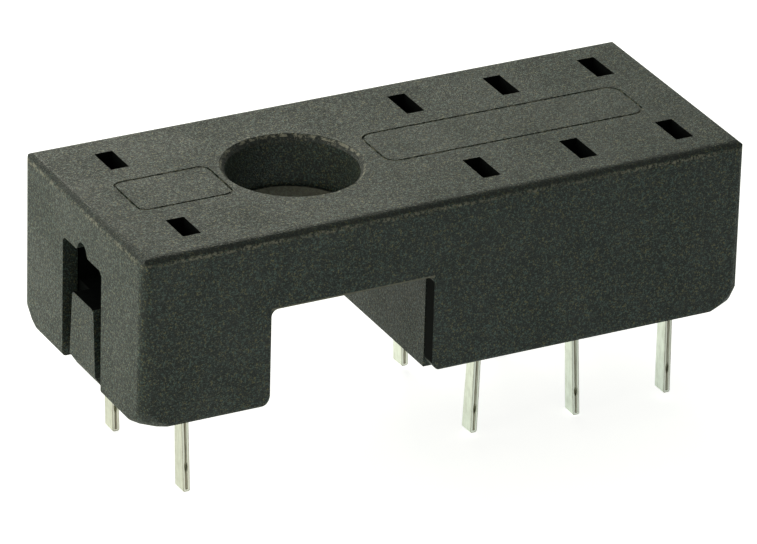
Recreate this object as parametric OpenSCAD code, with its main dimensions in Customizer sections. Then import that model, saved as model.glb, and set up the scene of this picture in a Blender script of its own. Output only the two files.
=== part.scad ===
// Printed-circuit-board socket for a two-pole plug-in relay.
// A moulded housing drops over a moulded base that carries eight folded spring contacts.
// Origin: on the plane of the solder-tail tips, below the middle of the housing.
// +X runs along the socket from the coil end to the switch end, +Z points at the relay.

/* [Housing] */
// Length of the housing along X
body_l = 30.6; // [30:0.1:32]
// Width of the housing along Y
body_w = 12.6; // [12.4:0.1:13.4]
// Height of the housing
body_h = 8.5; // [8:0.1:10]
// Thickness of the side and end walls
wall_t = 0.75; // [0.6:0.05:0.9]
// Thickness of the top plate over the contact chambers
top_t = 1.15; // [0.9:0.05:1.4]
// Radius of the upright corners
corner_r = 0.5; // [0.3:0.05:0.7]
// Radius of the edges around the top
top_edge_r = 0.48; // [0.2:0.02:0.6]
// Radius of the long bottom edges
foot_edge_r = 0.2; // [0.1:0.05:0.3]
// Radius of the bottom corners at the two ends
end_corner_r = 0.65; // [0.3:0.05:0.7]

/* [Arch] */
// Width of the open arch between the two blocks
arch_w = 8.2; // [7.6:0.1:8.4]
// Depth from the top of the housing down to the roof of the arch
arch_depth = 3.65; // [3.5:0.05:4]
// Distance from the coil contacts to the middle of the arch
arch_from_coil = 7.3; // [7.2:0.1:7.5]
// Radius of the roof corners of the arch
arch_roof_r = 0.35; // [0.2:0.05:0.5]
// Radius of the corner at the foot of each leg, facing the arch
arch_foot_r = 0.6; // [0.3:0.05:0.8]

/* [Round passage] */
// Bore of the passage through the housing
passage_d = 6.2; // [5.6:0.1:6.4]
// Bore of the passage through the bridge of the base
bridge_passage_d = 5.9; // [5:0.1:5.9]
// Chamfer at the mouth of the passage
passage_chamfer = 0.25; // [0.1:0.05:0.3]
// Thickness of the base's bridge under the housing
bridge_t = 1.15; // [1:0.05:1.5]

/* [Relay pin grid] */
// Distance from the coil end of the housing to the coil contacts
coil_from_end = 3.2; // [3:0.1:3.6]
// Distance from the coil contacts to the first pair of switch contacts
first_pitch = 15; // [14.6:0.1:15.2]
// Pitch of the switch contacts
pitch = 5; // [4.6:0.1:5.1]
// Distance between the two rows
row_pitch = 7.5; // [7.2:0.1:7.8]
// Width of every pin slot, along X
slot_w = 0.9; // [0.7:0.05:1.1]
// Length of the coil pin slots, along Y
coil_slot_l = 1.8; // [1.5:0.05:2]
// Length of the switch pin slots, along Y
switch_slot_l = 2.05; // [1.8:0.05:2.1]

/* [Bare panels] */
// Width of the fine groove that outlines each bare panel in the top
outline_w = 0.12; // [0.06:0.02:0.2]
// Depth of the groove
outline_depth = 0.08; // [0.04:0.02:0.2]
// Width of both panels
panel_w = 3.2; // [2.4:0.1:3.4]
// Length of the panel between the switch slots
long_panel_l = 13.5; // [10:0.1:13.8]
// Corner radius of the long panel
long_panel_r = 0.7; // [0.3:0.1:1.2]
// Length of the panel between the coil slots
short_panel_l = 4.8; // [3:0.1:4.9]
// Corner radius of the short panel
short_panel_r = 0.5; // [0.3:0.1:1.2]

/* [End windows] */
// Width of the window in each end wall
window_w = 4.1; // [3.6:0.1:4.4]
// Depth from the top of the housing to the top of the window
window_depth = 2.4; // [2:0.05:2.8]
// Radius of the upper corners of the window
window_r = 0.3; // [0.1:0.05:0.5]
// Width of the wire-clip notch over the window
notch_w = 1; // [0.8:0.05:1.4]
// Height of the wire-clip notch, at least half its width
notch_h = 0.53; // [0.5:0.01:0.8]
// Radius where the notch runs out into the window
notch_foot_r = 0.18; // [0.1:0.02:0.3]

/* [Base] */
// Gap between the base and the housing walls
fit_gap = 0.1; // [0.05:0.01:0.15]
// How far the base stands below the housing
base_drop = 0.1; // [0:0.05:0.2]
// Thickness of the base's floor
floor_t = 1.3; // [1:0.05:1.6]
// Radius of the base's upright corners beside the arch
base_corner_r = 0.6; // [0.3:0.05:0.8]
// Depth of the solder relief around each tail, in the underside
relief_depth = 0.35; // [0.2:0.05:0.6]
// Width of the end tongue at its foot
tongue_foot_w = 2.8; // [2.3:0.05:3.2]
// Width of the end tongue at its top
tongue_top_w = 2.25; // [1.6:0.05:2.6]
// Depth from the top of the housing to the top of the tongue
tongue_depth = 4.75; // [4:0.05:5.5]
// How far the tongue's face lies inside the end face
tongue_inset = 0.05; // [0:0.01:0.15]
// Radius of the tongue's upper corners
tongue_top_r = 0.22; // [0.1:0.02:0.4]
// Height of the bevel that leads the tongue into its window
tongue_bevel_h = 0.6; // [0.3:0.05:1]
// Depth of the bevel at the tongue's foot
tongue_bevel_l = 0.4; // [0.2:0.05:0.6]

/* [Contacts] */
// Length of the longest solder tail below the base
tail_l = 5.1; // [4:0.1:5.5]
// Width of the solder tails, along Y
tail_w = 0.8; // [0.6:0.02:0.9]
// Thickness of the contact strip
strip_t = 0.165; // [0.14:0.005:0.2]
// Gap between the two folded leaves of a tail
leaf_gap = 0.03; // [0.02:0.01:0.05]
// Width of the spring leaves, along Y
leaf_w = 1.75; // [1.2:0.05:1.8]
// Free gap between the leaves where they grip a pin
grip_gap = 0.28; // [0.2:0.02:0.4]

/* [Hidden] */
$fn = 48;
eps = 0.01;
over = 1;

// Heights above the tail tips
base_z = tail_l;
foot_z = base_z + base_drop;
top_z = foot_z + body_h;
plate_z = top_z - top_t;
roof_z = top_z - arch_depth;
bridge_top_z = roof_z + bridge_t;
floor_z = base_z + floor_t;
window_top_z = top_z - window_depth;
tongue_top_z = top_z - tongue_depth;

// How far the middles of the bare panels lie from the second switch pair and the coil pair
long_panel_back = 1.9;
short_panel_on = 1.3;

// Places along X
end_x = body_l / 2;
coil_x = -end_x + coil_from_end;
switch_xs = [for (i = [0:2]) coil_x + first_pitch + i * pitch];
arch_x = coil_x + arch_from_coil;
arch_left = arch_x - arch_w / 2;
arch_right = arch_x + arch_w / 2;
long_panel_x = switch_xs[1] - long_panel_back;
short_panel_x = coil_x + short_panel_on;

// Inner sizes of the housing and outer sizes of the base
cavity_w = body_w - 2 * wall_t;
inner_end_x = end_x - wall_t;
base_w = cavity_w - 2 * fit_gap;
base_end_x = inner_end_x - fit_gap;
base_outer_r = 0.2;

// Contact chambers and hook pockets in the base
chamber_l = 2.2;
chamber_w = 1.96;
tail_slot_gap = 0.03;
relief_l = 1.3;
relief_w = 1.7;
hook_pocket_w = 4.2;
hook_pocket_l = 1;
core_w = 3.4;
core_wall = 0.9;
core_floor_z = floor_z + 0.4;

// Contacts, as heights above the base's floor and half gaps between the leaves
tail_half = leaf_gap / 2 + strip_t;
bend_z = base_z + relief_depth;
tip_r = 0.1;
eye_h = 1.25;
eye_half_h = 0.26;
eye_half_w = 0.05;
belly_x = 0.72;
mouth_x = 0.62;
grip_h = 4.35;
mouth_h = 5.45;
leaf_top_h = 5.6;
shoulder_h = 0.5;
barb_w = 0.08;
barb_h = 0.6;
taper_h = 2.4;
taper_in = 0.2;

// Colours
black_plastic = [0.10, 0.11, 0.10];
base_plastic = [0.09, 0.10, 0.095];
tinned_strip = [0.78, 0.77, 0.71];

// ---------------------------------------------------------------- helpers

// What a round of radius r leaves outside itself in the corner at the origin, towards +X +Y
module corner_waste(r) {
    difference() {
        translate([-eps, -eps]) square(r + eps);
        translate([r, r]) circle(r);
    }
}

// Rectangle from [x0, y0] to [x1, y1] with one radius per corner:
// r = [low left, low right, high right, high left]
module rounded_box(x0, y0, x1, y1, r) {
    difference() {
        translate([x0, y0]) square([x1 - x0, y1 - y0]);
        if (r[0] > 0) translate([x0, y0]) corner_waste(r[0]);
        if (r[1] > 0) translate([x1, y0]) mirror([1, 0]) corner_waste(r[1]);
        if (r[2] > 0) translate([x1, y1]) rotate(180) corner_waste(r[2]);
        if (r[3] > 0) translate([x0, y1]) mirror([0, 1]) corner_waste(r[3]);
    }
}

// Stands a drawing of X and Z up and gives it the width w along Y
module across_y(w) {
    rotate([90, 0, 0]) translate([0, 0, -w / 2]) linear_extrude(w) children();
}

// Stands a drawing of Y and Z up and gives it the length l along X from x
module along_x(x, l) {
    translate([x, 0, 0]) rotate([90, 0, 90]) linear_extrude(l) children();
}

// Box between two corners
module block(low, high) {
    translate(low) cube(high - low);
}

// One child at each relay pin: coil pair first, then the switch pairs
module at_pins(xs) {
    for (x = xs, side = [-1, 1]) translate([x, side * row_pitch / 2, 0]) children();
}

// Whatever is drawn at the switch end, and its mirror image at the coil end
module both_ends() {
    for (side = [0, 1]) mirror([side, 0, 0]) children();
}

// ---------------------------------------------------------------- housing

// Side view of the housing: two legs and the bridge over the arch
module housing_side() {
    difference() {
        rounded_box(-end_x, foot_z, end_x, top_z,
            [end_corner_r, end_corner_r, top_edge_r, top_edge_r]);
        rounded_box(arch_left, foot_z - over, arch_right, roof_z, [0, 0, arch_roof_r, arch_roof_r]);
        translate([arch_left, foot_z]) mirror([1, 0]) corner_waste(arch_foot_r);
        translate([arch_right, foot_z]) corner_waste(arch_foot_r);
    }
}

// The solid form that the housing is moulded in, before it is cored out
module housing_form() {
    intersection() {
        across_y(body_w) housing_side();
        along_x(-end_x, body_l)
            rounded_box(-body_w / 2, foot_z, body_w / 2, top_z,
                [foot_edge_r, foot_edge_r, top_edge_r, top_edge_r]);
        translate([0, 0, foot_z]) linear_extrude(body_h)
            rounded_box(-end_x, -body_w / 2, end_x, body_w / 2, [for (i = [0:3]) corner_r]);
    }
}

// Room for the base: deep over both blocks, shallow where the bridge passes
module housing_cavity() {
    w = cavity_w / 2;
    block([-inner_end_x, -w, foot_z - over], [arch_left, w, plate_z]);
    block([arch_right, -w, foot_z - over], [inner_end_x, w, plate_z]);
    block([arch_left - eps, -w, foot_z - over], [arch_right + eps, w, bridge_top_z]);
}

// Window for the tongue and the clip's hook, with the wire notch over it
module end_window() {
    along_x(inner_end_x - eps, wall_t + over) {
        rounded_box(-window_w / 2, foot_z - over, window_w / 2, window_top_z,
            [0, 0, window_r, window_r]);
        translate([0, window_top_z + notch_h - notch_w / 2]) circle(notch_w / 2);
        translate([-notch_w / 2, window_top_z - eps])
            square([notch_w, notch_h - notch_w / 2 + eps]);
        for (side = [0, 1]) mirror([side, 0])
            translate([notch_w / 2, window_top_z]) corner_waste(notch_foot_r);
    }
}

// Passage through the top, with its chamfered mouth
module housing_passage() {
    translate([arch_x, 0, bridge_top_z - over])
        cylinder(d = passage_d, h = top_z - bridge_top_z + 2 * over, $fn = 96);
    translate([arch_x, 0, top_z - passage_chamfer])
        cylinder(d1 = passage_d, d2 = passage_d + 2 * passage_chamfer + 2 * eps,
            h = passage_chamfer + eps, $fn = 96);
}

module pin_slot(l) {
    translate([-slot_w / 2, -l / 2, plate_z - over]) cube([slot_w, l, top_t + 2 * over]);
}

// Fine groove around a bare panel centred at x
module panel_outline(x, l, r) {
    w = panel_w / 2;
    g = outline_w;
    translate([0, 0, top_z - outline_depth]) linear_extrude(over)
        difference() {
            rounded_box(x - l / 2, -w, x + l / 2, w, [r, r, r, r]);
            rounded_box(x - l / 2 + g, g - w, x + l / 2 - g, w - g, [r - g, r - g, r - g, r - g]);
        }
}

module housing() {
    color(black_plastic) difference() {
        housing_form();
        housing_cavity();
        both_ends() end_window();
        housing_passage();
        at_pins([coil_x]) pin_slot(coil_slot_l);
        at_pins(switch_xs) pin_slot(switch_slot_l);
        panel_outline(short_panel_x, short_panel_l, short_panel_r);
        panel_outline(long_panel_x, long_panel_l, long_panel_r);
    }
}

// ---------------------------------------------------------------- base

// Side view of the base: a block in each leg, joined by the bridge
module base_side() {
    translate([-base_end_x, base_z]) square([arch_left + base_end_x, plate_z - base_z]);
    translate([arch_right, base_z]) square([base_end_x - arch_right, plate_z - base_z]);
    translate([arch_left - over, roof_z]) square([arch_w + 2 * over, bridge_t]);
}

// Plan of the base: its corners beside the arch are well rounded
module base_plan() {
    w = base_w / 2;
    r = base_corner_r;
    q = base_outer_r;
    rounded_box(-base_end_x, -w, arch_left, w, [q, r, r, q]);
    rounded_box(arch_right, -w, base_end_x, w, [r, q, q, r]);
    translate([arch_left - r, -w]) square([arch_w + 2 * r, 2 * w]);
}

// Outline of a tongue, seen from its end: narrower and rounded towards the top
module tongue_outline() {
    r = tongue_top_r;
    x = tongue_top_w / 2 - r;
    polygon(concat(
        [[-tongue_foot_w / 2, base_z], [tongue_foot_w / 2, base_z]],
        arc([x, tongue_top_z - r], r, 0, 90),
        arc([-x, tongue_top_z - r], r, 90, 180)
    ));
}

// Tongue that fills the foot of an end window, bevelled where it enters
module tongue() {
    face_x = end_x - tongue_inset;
    intersection() {
        along_x(base_end_x - eps, face_x - base_end_x + eps) tongue_outline();
        across_y(tongue_foot_w + over)
            polygon([
                [base_end_x - over, base_z], [face_x - tongue_bevel_l, base_z],
                [face_x, base_z + tongue_bevel_h], [face_x, tongue_top_z + over],
                [base_end_x - over, tongue_top_z + over]
            ]);
    }
}

// Chamber for one contact, the slot that its tail leaves by, and the relief that keeps
// solder and flux from creeping up the slot and leaves a bent tail its room
module chamber() {
    sx = tail_half + tail_slot_gap;
    sy = tail_w / 2 + tail_slot_gap;
    block([-chamber_l / 2, -chamber_w / 2, floor_z], [chamber_l / 2, chamber_w / 2, top_z]);
    block([-sx, -sy, base_z - over], [sx, sy, floor_z + eps]);
    block([-relief_l / 2, -relief_w / 2, base_z - over],
        [relief_l / 2, relief_w / 2, base_z + relief_depth]);
}

// Pocket behind an end window, where the clip's hook lands
module hook_pocket() {
    block([base_end_x - hook_pocket_l, -hook_pocket_w / 2, tongue_top_z],
        [base_end_x + over, hook_pocket_w / 2, top_z]);
}

// Core between the two rows, which keeps the moulding's walls even
module core(x0, x1) {
    block([x0, -core_w / 2, core_floor_z], [x1, core_w / 2, top_z]);
}

module base() {
    color(base_plastic) {
        difference() {
            union() {
                intersection() {
                    across_y(base_w) base_side();
                    translate([0, 0, base_z]) linear_extrude(top_z - base_z) base_plan();
                }
                both_ends() tongue();
            }
            at_pins(concat([coil_x], switch_xs)) chamber();
            both_ends() hook_pocket();
            core(-base_end_x + hook_pocket_l + core_wall, arch_left - core_wall);
            core(arch_right + core_wall, base_end_x - hook_pocket_l - core_wall);
            translate([arch_x, 0, roof_z - over])
                cylinder(d = bridge_passage_d, h = bridge_t + 2 * over, $fn = 96);
        }
    }
}

// ---------------------------------------------------------------- contacts

// Middle line of one spring leaf above its tail: [x, z, bend radius]
leaf_x = (leaf_gap + strip_t) / 2;
grip_x = (grip_gap + strip_t) / 2;
leaf_bends = [
    [leaf_x, floor_z - 0.3, 0],
    [leaf_x, floor_z + 0.15, 0.3],
    [belly_x, floor_z + 0.95, 0.5],
    [belly_x, floor_z + 2.3, 1.2],
    [grip_x, floor_z + grip_h, 0.45],
    [mouth_x, floor_z + mouth_h, 0]
];

function xz(p) = [p[0], p[1]];
function unit(v) = v / norm(v);
function side_of(v) = [-v[1], v[0]];

// Points of a path whose inner corners are arcs of the given radii
function rounded_path(b, steps = 6) = [
    for (i = [0:len(b) - 1])
        if (i == 0 || i == len(b) - 1) xz(b[i])
        else
            let (
                u = unit(xz(b[i]) - xz(b[i - 1])),
                v = unit(xz(b[i + 1]) - xz(b[i])),
                turn = acos(min(1, u * v)),
                back = b[i][2] * tan(turn / 2),
                hand = u[0] * v[1] - u[1] * v[0] > 0 ? 1 : -1,
                start = xz(b[i]) - u * back,
                centre = start + side_of(u) * hand * b[i][2]
            )
            each [for (k = [0:steps]) let (a = turn * k / steps)
                centre - side_of(u) * hand * b[i][2] * cos(a) + u * b[i][2] * sin(a)]
];

// Direction of a path at point i
function along(p, i) = unit(p[min(i + 1, len(p) - 1)] - p[max(i - 1, 0)]);

// Points of an arc about c, from angle a0 to angle a1
function arc(c, r, a0, a1, steps = 6) = [
    for (k = [0:steps]) let (a = a0 + (a1 - a0) * k / steps) c + r * [cos(a), sin(a)]
];

// Edge of the small eye where the folded leaves bow apart, from its top to its foot
function eye_edge(tip_z) =
    let (
        r = (pow(eye_half_h, 2) + pow(eye_half_w, 2)) / (2 * eye_half_w),
        half_angle = asin(eye_half_h / r)
    )
    arc([leaf_gap / 2 + eye_half_w - r, tip_z + eye_h], r, half_angle, -half_angle);

// Right half of a contact's side view, from the tip round the leaf and back to the fold
function contact_half(leaf, tip_z) = concat(
    arc([tail_half - tip_r, tip_z + tip_r], tip_r, -90, 0),
    [[tail_half, bend_z]],
    [for (i = [0:len(leaf) - 1]) leaf[i] - side_of(along(leaf, i)) * strip_t / 2],
    [for (i = [len(leaf) - 1:-1:0]) leaf[i] + side_of(along(leaf, i)) * strip_t / 2],
    [[leaf_gap / 2, bend_z]],
    eye_edge(tip_z),
    [[leaf_gap / 2, tip_z + strip_t]]
);

// Right half of a contact's face view: narrow tail, shoulder, barb and tapered leaf
function contact_face_half(tip_z) = concat(
    arc([tail_w / 2 - tip_r, tip_z + tip_r], tip_r, -90, 0),
    [
        [tail_w / 2, bend_z], [tail_w / 2, floor_z], [leaf_w / 2, floor_z],
        [leaf_w / 2, floor_z + shoulder_h], [leaf_w / 2 + barb_w, floor_z + shoulder_h],
        [leaf_w / 2, floor_z + shoulder_h + barb_h],
        [leaf_w / 2, floor_z + leaf_top_h - taper_h],
        [leaf_w / 2 - taper_in, floor_z + leaf_top_h]
    ]
);

// Moves a point of a tail sideways where handling has bent it, just inside the base
function leaned(p, lean) = [p[0] + tan(lean) * max(0, bend_z - p[1]), p[1]];

// Outline made of a right half and its mirror image, with the tail bent
module leaned_outline(half, lean) {
    last = len(half) - 1;
    other = [for (i = [last:-1:0]) [-half[i][0], half[i][1]]];
    polygon([for (p = concat(half, other)) leaned(p, lean)]);
}

// One strip, folded at the tip of its tail and opened into a fork that grips a relay pin.
// lean is the bend of its tail towards +X and +Y, and short how much shorter it reaches
module contact(x, side, lean, short) {
    leaf = rounded_path(leaf_bends);
    color(tinned_strip)
    translate([x, side * row_pitch / 2, 0])
        intersection() {
            across_y(leaf_w + over) leaned_outline(contact_half(leaf, short), lean[0]);
            along_x(-2 * over, 4 * over) leaned_outline(contact_face_half(short), lean[1]);
        }
}

module coil_contact_front() contact(coil_x, -1, [0.9, -1.9], 0.6);
module coil_contact_back() contact(coil_x, 1, [1.8, 0], 0);
module switch_contact_front_1() contact(switch_xs[0], -1, [-0.85, 1.7], 0.25);
module switch_contact_front_2() contact(switch_xs[1], -1, [3.4, 1], 0.05);
module switch_contact_front_3() contact(switch_xs[2], -1, [-1, -2.75], 0.4);
module switch_contact_back_1() contact(switch_xs[0], 1, [2, 0.8], 0.2);
module switch_contact_back_2() contact(switch_xs[1], 1, [1, 0.5], 0.2);
module switch_contact_back_3() contact(switch_xs[2], 1, [-0.5, 0], 0.15);

housing();
base();
coil_contact_front();
coil_contact_back();
switch_contact_front_1();
switch_contact_front_2();
switch_contact_front_3();
switch_contact_back_1();
switch_contact_back_2();
switch_contact_back_3();
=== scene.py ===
"""Visual model of a socket that holds a two-pole relay on a circuit board.

Two black mouldings, a housing and the base nested in it, carry eight spring contacts.
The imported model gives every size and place; this script gives the pieces their small
edge breaks, their cut-strip detail, their finishes, and a studio to stand in.
Lengths are in metres, with +X along the socket, +Y to its back row and +Z up.
"""

from __future__ import annotations

import logging
import math
from dataclasses import dataclass
from enum import Enum
from typing import Callable, ClassVar

import bmesh
import bpy
import numpy as np
from mathutils import Matrix, Vector

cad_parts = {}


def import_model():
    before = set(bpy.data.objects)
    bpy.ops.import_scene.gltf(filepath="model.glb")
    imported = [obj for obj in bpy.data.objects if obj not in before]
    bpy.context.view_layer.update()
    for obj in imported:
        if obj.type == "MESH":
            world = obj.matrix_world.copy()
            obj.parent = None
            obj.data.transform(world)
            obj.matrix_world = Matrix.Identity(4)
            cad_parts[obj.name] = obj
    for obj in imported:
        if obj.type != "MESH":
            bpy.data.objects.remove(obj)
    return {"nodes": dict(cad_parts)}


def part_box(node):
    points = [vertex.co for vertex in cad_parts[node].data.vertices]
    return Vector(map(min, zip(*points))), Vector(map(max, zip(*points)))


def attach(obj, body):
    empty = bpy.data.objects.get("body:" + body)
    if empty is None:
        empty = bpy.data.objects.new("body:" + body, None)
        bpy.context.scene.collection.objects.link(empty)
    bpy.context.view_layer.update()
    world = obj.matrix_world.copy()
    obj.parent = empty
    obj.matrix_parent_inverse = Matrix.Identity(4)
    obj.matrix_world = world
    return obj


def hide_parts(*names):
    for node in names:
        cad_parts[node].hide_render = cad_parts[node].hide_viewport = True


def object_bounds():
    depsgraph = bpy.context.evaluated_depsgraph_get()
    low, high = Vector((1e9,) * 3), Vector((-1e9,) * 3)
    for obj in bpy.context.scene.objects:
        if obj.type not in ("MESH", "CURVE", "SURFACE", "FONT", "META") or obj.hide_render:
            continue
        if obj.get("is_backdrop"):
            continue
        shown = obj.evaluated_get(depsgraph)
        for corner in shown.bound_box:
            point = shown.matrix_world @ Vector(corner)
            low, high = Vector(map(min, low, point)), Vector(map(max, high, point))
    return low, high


LOG = logging.getLogger("relay_socket")
MM = 0.001
MICRON = 0.000001
SLACK = 0.02 * MM  # tolerance when a face is told by its place
ROOT_BODY = "root"

Colour = tuple[float, float, float]
Step = tuple[float, float, float, float]  # a soft step: low, high, result at low, at high


class Slot(Enum):
    """Material slots that the record names."""

    HOUSING = "housing_plastic"
    BASE = "base_plastic"
    CONTACT = "tinned_contact"


class Row(Enum):
    """The two rows of contacts, by their side of the socket."""

    FRONT = -1
    BACK = 1


# ---- shader wiring


class Wiring:
    """Short forms for building a node tree."""

    def __init__(self, tree: bpy.types.NodeTree) -> None:
        """Keeps the tree of a material, a world or a node group."""
        self.tree = tree
        self.column = 0

    def node(self, kind: str, **settings: object) -> bpy.types.Node:
        """Adds a node and sets its properties.

        Args:
            kind: the node's type name.
            settings: properties of the node.

        Returns:
            The new node.
        """
        made = self.tree.nodes.new(kind)
        for name, value in settings.items():
            setattr(made, name, value)
        made.location = (self.column * 180, 0)
        self.column += 1
        return made

    def join(self, source: bpy.types.NodeSocket, target: bpy.types.NodeSocket) -> None:
        """Links an output to an input."""
        self.tree.links.new(source, target)

    def feed(self, target: bpy.types.NodeSocket, value: object) -> None:
        """Links a socket to the target, or sets a plain value on it.

        Args:
            target: the input socket.
            value: an output socket, a number or a colour.
        """
        if isinstance(value, bpy.types.NodeSocket):
            self.join(value, target)
        else:
            target.default_value = value

    def math(self, operation: str, a: object, b: object = 0.0) -> bpy.types.NodeSocket:
        """Adds a Math node.

        Args:
            operation: the node's operation, such as MULTIPLY.
            a: the first input.
            b: the second input.

        Returns:
            The node's output socket.
        """
        made = self.node("ShaderNodeMath", operation=operation)
        self.feed(made.inputs[0], a)
        self.feed(made.inputs[1], b)
        return made.outputs[0]

    def ramp(
        self,
        value: object,
        low: object,
        high: object,
        to_low: float = 0.0,
        to_high: float = 1.0,
    ) -> bpy.types.NodeSocket:
        """Maps a range onto another with a smooth step, held at both ends.

        Args:
            value: the input.
            low: the input value that gives to_low.
            high: the input value that gives to_high.
            to_low: the result at low.
            to_high: the result at high.

        Returns:
            The output socket.
        """
        made = self.node("ShaderNodeMapRange", interpolation_type="SMOOTHSTEP")
        for socket, item in zip(made.inputs[:5], (value, low, high, to_low, to_high)):
            self.feed(socket, item)
        return made.outputs[0]

    def times(self, *values: object) -> bpy.types.NodeSocket:
        """Multiplies two or more values.

        Args:
            values: sockets or numbers.

        Returns:
            The product's socket.
        """
        product = values[0]
        for value in values[1:]:
            product = self.math("MULTIPLY", product, value)
        return product

    def band(self, value: object, low: float, high: float, soft: float) -> bpy.types.NodeSocket:
        """Gives 1 between two values and 0 outside them.

        Args:
            value: the input.
            low: where the band starts.
            high: where it ends.
            soft: width of the soft step at each end.

        Returns:
            The output socket.
        """
        rise = self.ramp(value, low - soft, low + soft)
        fall = self.ramp(value, high - soft, high + soft, 1.0, 0.0)
        return self.times(rise, fall)

    def mix(self, factor: object, a: object, b: object) -> bpy.types.NodeSocket:
        """Mixes two colours.

        Args:
            factor: 0 gives a and 1 gives b.
            a: a colour or a colour socket.
            b: a colour or a colour socket.

        Returns:
            The output socket.
        """
        made = self.node("ShaderNodeMix", data_type="RGBA")
        for index, item in ((0, factor), (6, a), (7, b)):
            self.feed(made.inputs[index], (*item, 1.0) if isinstance(item, tuple) else item)
        return made.outputs[2]

    def noise(
        self, place: object, scale: object, detail: float = 2.0, rough: float = 0.5
    ) -> bpy.types.NodeSocket:
        """Adds 3-D noise.

        Args:
            place: the position socket.
            scale: features for each metre.
            detail: octaves.
            rough: weight of the finer octaves.

        Returns:
            The noise value's socket.
        """
        made = self.node("ShaderNodeTexNoise")
        self.feed(made.inputs["Vector"], place)
        self.feed(made.inputs["Scale"], scale)
        made.inputs["Detail"].default_value = detail
        made.inputs["Roughness"].default_value = rough
        return made.outputs["Fac"]

    def split(self, vector: object) -> tuple[bpy.types.NodeSocket, ...]:
        """Splits a vector.

        Args:
            vector: the vector's socket.

        Returns:
            Its X, Y and Z sockets.
        """
        made = self.node("ShaderNodeSeparateXYZ")
        self.feed(made.inputs[0], vector)
        return tuple(made.outputs)

    def group(self, tree: bpy.types.NodeTree, **values: object) -> bpy.types.Node:
        """Places a node group and feeds its inputs.

        Args:
            tree: the group.
            values: input names, with underscores for spaces.

        Returns:
            The group node.
        """
        made = self.node("ShaderNodeGroup", node_tree=tree)
        for name, value in values.items():
            self.feed(made.inputs[name.replace("_", " ")], value)
        return made


def object_place(wiring: Wiring) -> bpy.types.NodeSocket:
    """Adds the object coordinates and gives their socket."""
    return wiring.node("ShaderNodeTexCoord").outputs["Object"]


def new_material(name: str) -> tuple[bpy.types.Material, Wiring, bpy.types.Node]:
    """Makes a material with a Principled BSDF.

    Args:
        name: its name.

    Returns:
        The material, its tree's wiring and the shader node.
    """
    material = bpy.data.materials.new(name)
    material.use_nodes = True
    return material, Wiring(material.node_tree), material.node_tree.nodes["Principled BSDF"]


def add_bump(wiring: Wiring, shader: bpy.types.Node, height: object, relief: float) -> None:
    """Gives a shader a bumpy surface.

    Args:
        wiring: the material's wiring.
        shader: its shader node.
        height: the height's socket.
        relief: the height in metres that 1 stands for.
    """
    bump = wiring.node("ShaderNodeBump")
    bump.inputs["Distance"].default_value = relief
    wiring.join(height, bump.inputs["Height"])
    wiring.join(bump.outputs["Normal"], shader.inputs["Normal"])


# ---- shared effects


@dataclass(frozen=True)
class Effect:
    """A shader node group that several finishes share.

    Attributes:
        name: the group's name.
        inputs: input names with their socket types and defaults.
        outputs: output names.
        body: fills the group, from its wiring, inputs and outputs.
    """

    name: str
    inputs: tuple[tuple[str, str, object], ...]
    outputs: tuple[str, ...]
    body: Callable[[Wiring, object, object], None]

    def tree(self) -> bpy.types.NodeTree:
        """Builds the group, or finds it if it is there.

        Returns:
            The node group.
        """
        found = bpy.data.node_groups.get(self.name)
        if found:
            return found
        tree = bpy.data.node_groups.new(self.name, "ShaderNodeTree")
        for name, kind, default in self.inputs:
            socket = tree.interface.new_socket(name=name, in_out="INPUT", socket_type=kind)
            if default is not None:
                socket.default_value = default
        for name in self.outputs:
            tree.interface.new_socket(name=name, in_out="OUTPUT", socket_type="NodeSocketFloat")
        wiring = Wiring(tree)
        given = wiring.node("NodeGroupInput")
        result = wiring.node("NodeGroupOutput")
        self.body(wiring, given.outputs, result.inputs)
        return tree


FLOAT = "NodeSocketFloat"
VECTOR = "NodeSocketVector"


def _grain_body(wiring: Wiring, given: object, result: object) -> None:
    """Fills the group of moulded grain: fine noise over coarser noise.

    Tone is 0.6 fine + 0.4 coarse, about 0.5 on average, and Height is fine + 0.6 coarse. Hue
    picks a warm or a cool grain, and Cloud varies slowly over the whole face.

    Args:
        wiring: the group's wiring.
        given: its inputs.
        result: its outputs.
    """
    place = given["Place"]
    grains = given["Grains"]
    fine = wiring.noise(place, grains, 1.0, 0.6)
    coarse = wiring.noise(place, wiring.times(grains, 0.55), 1.0, 0.5)
    shifted = wiring.node("ShaderNodeMapping")
    wiring.join(place, shifted.inputs["Vector"])
    shifted.inputs["Location"].default_value = (0.5, 0.3, 0.7)
    hue = wiring.noise(shifted.outputs[0], wiring.times(grains, 0.6), 1.0, 0.5)
    cloud = wiring.noise(place, wiring.times(grains, 0.02), 2.0, 0.5)
    wiring.join(wiring.math("ADD", fine, wiring.times(coarse, 0.6)), result["Height"])
    wiring.join(wiring.math("ADD", wiring.times(fine, 0.6), wiring.times(coarse, 0.4)), result["Tone"])
    wiring.join(hue, result["Hue"])
    wiring.join(cloud, result["Cloud"])


GRAIN = Effect(
    "moulded_grain",
    (("Place", VECTOR, None), ("Grains", FLOAT, 13000.0)),
    ("Height", "Tone", "Hue", "Cloud"),
    _grain_body,
)


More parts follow.
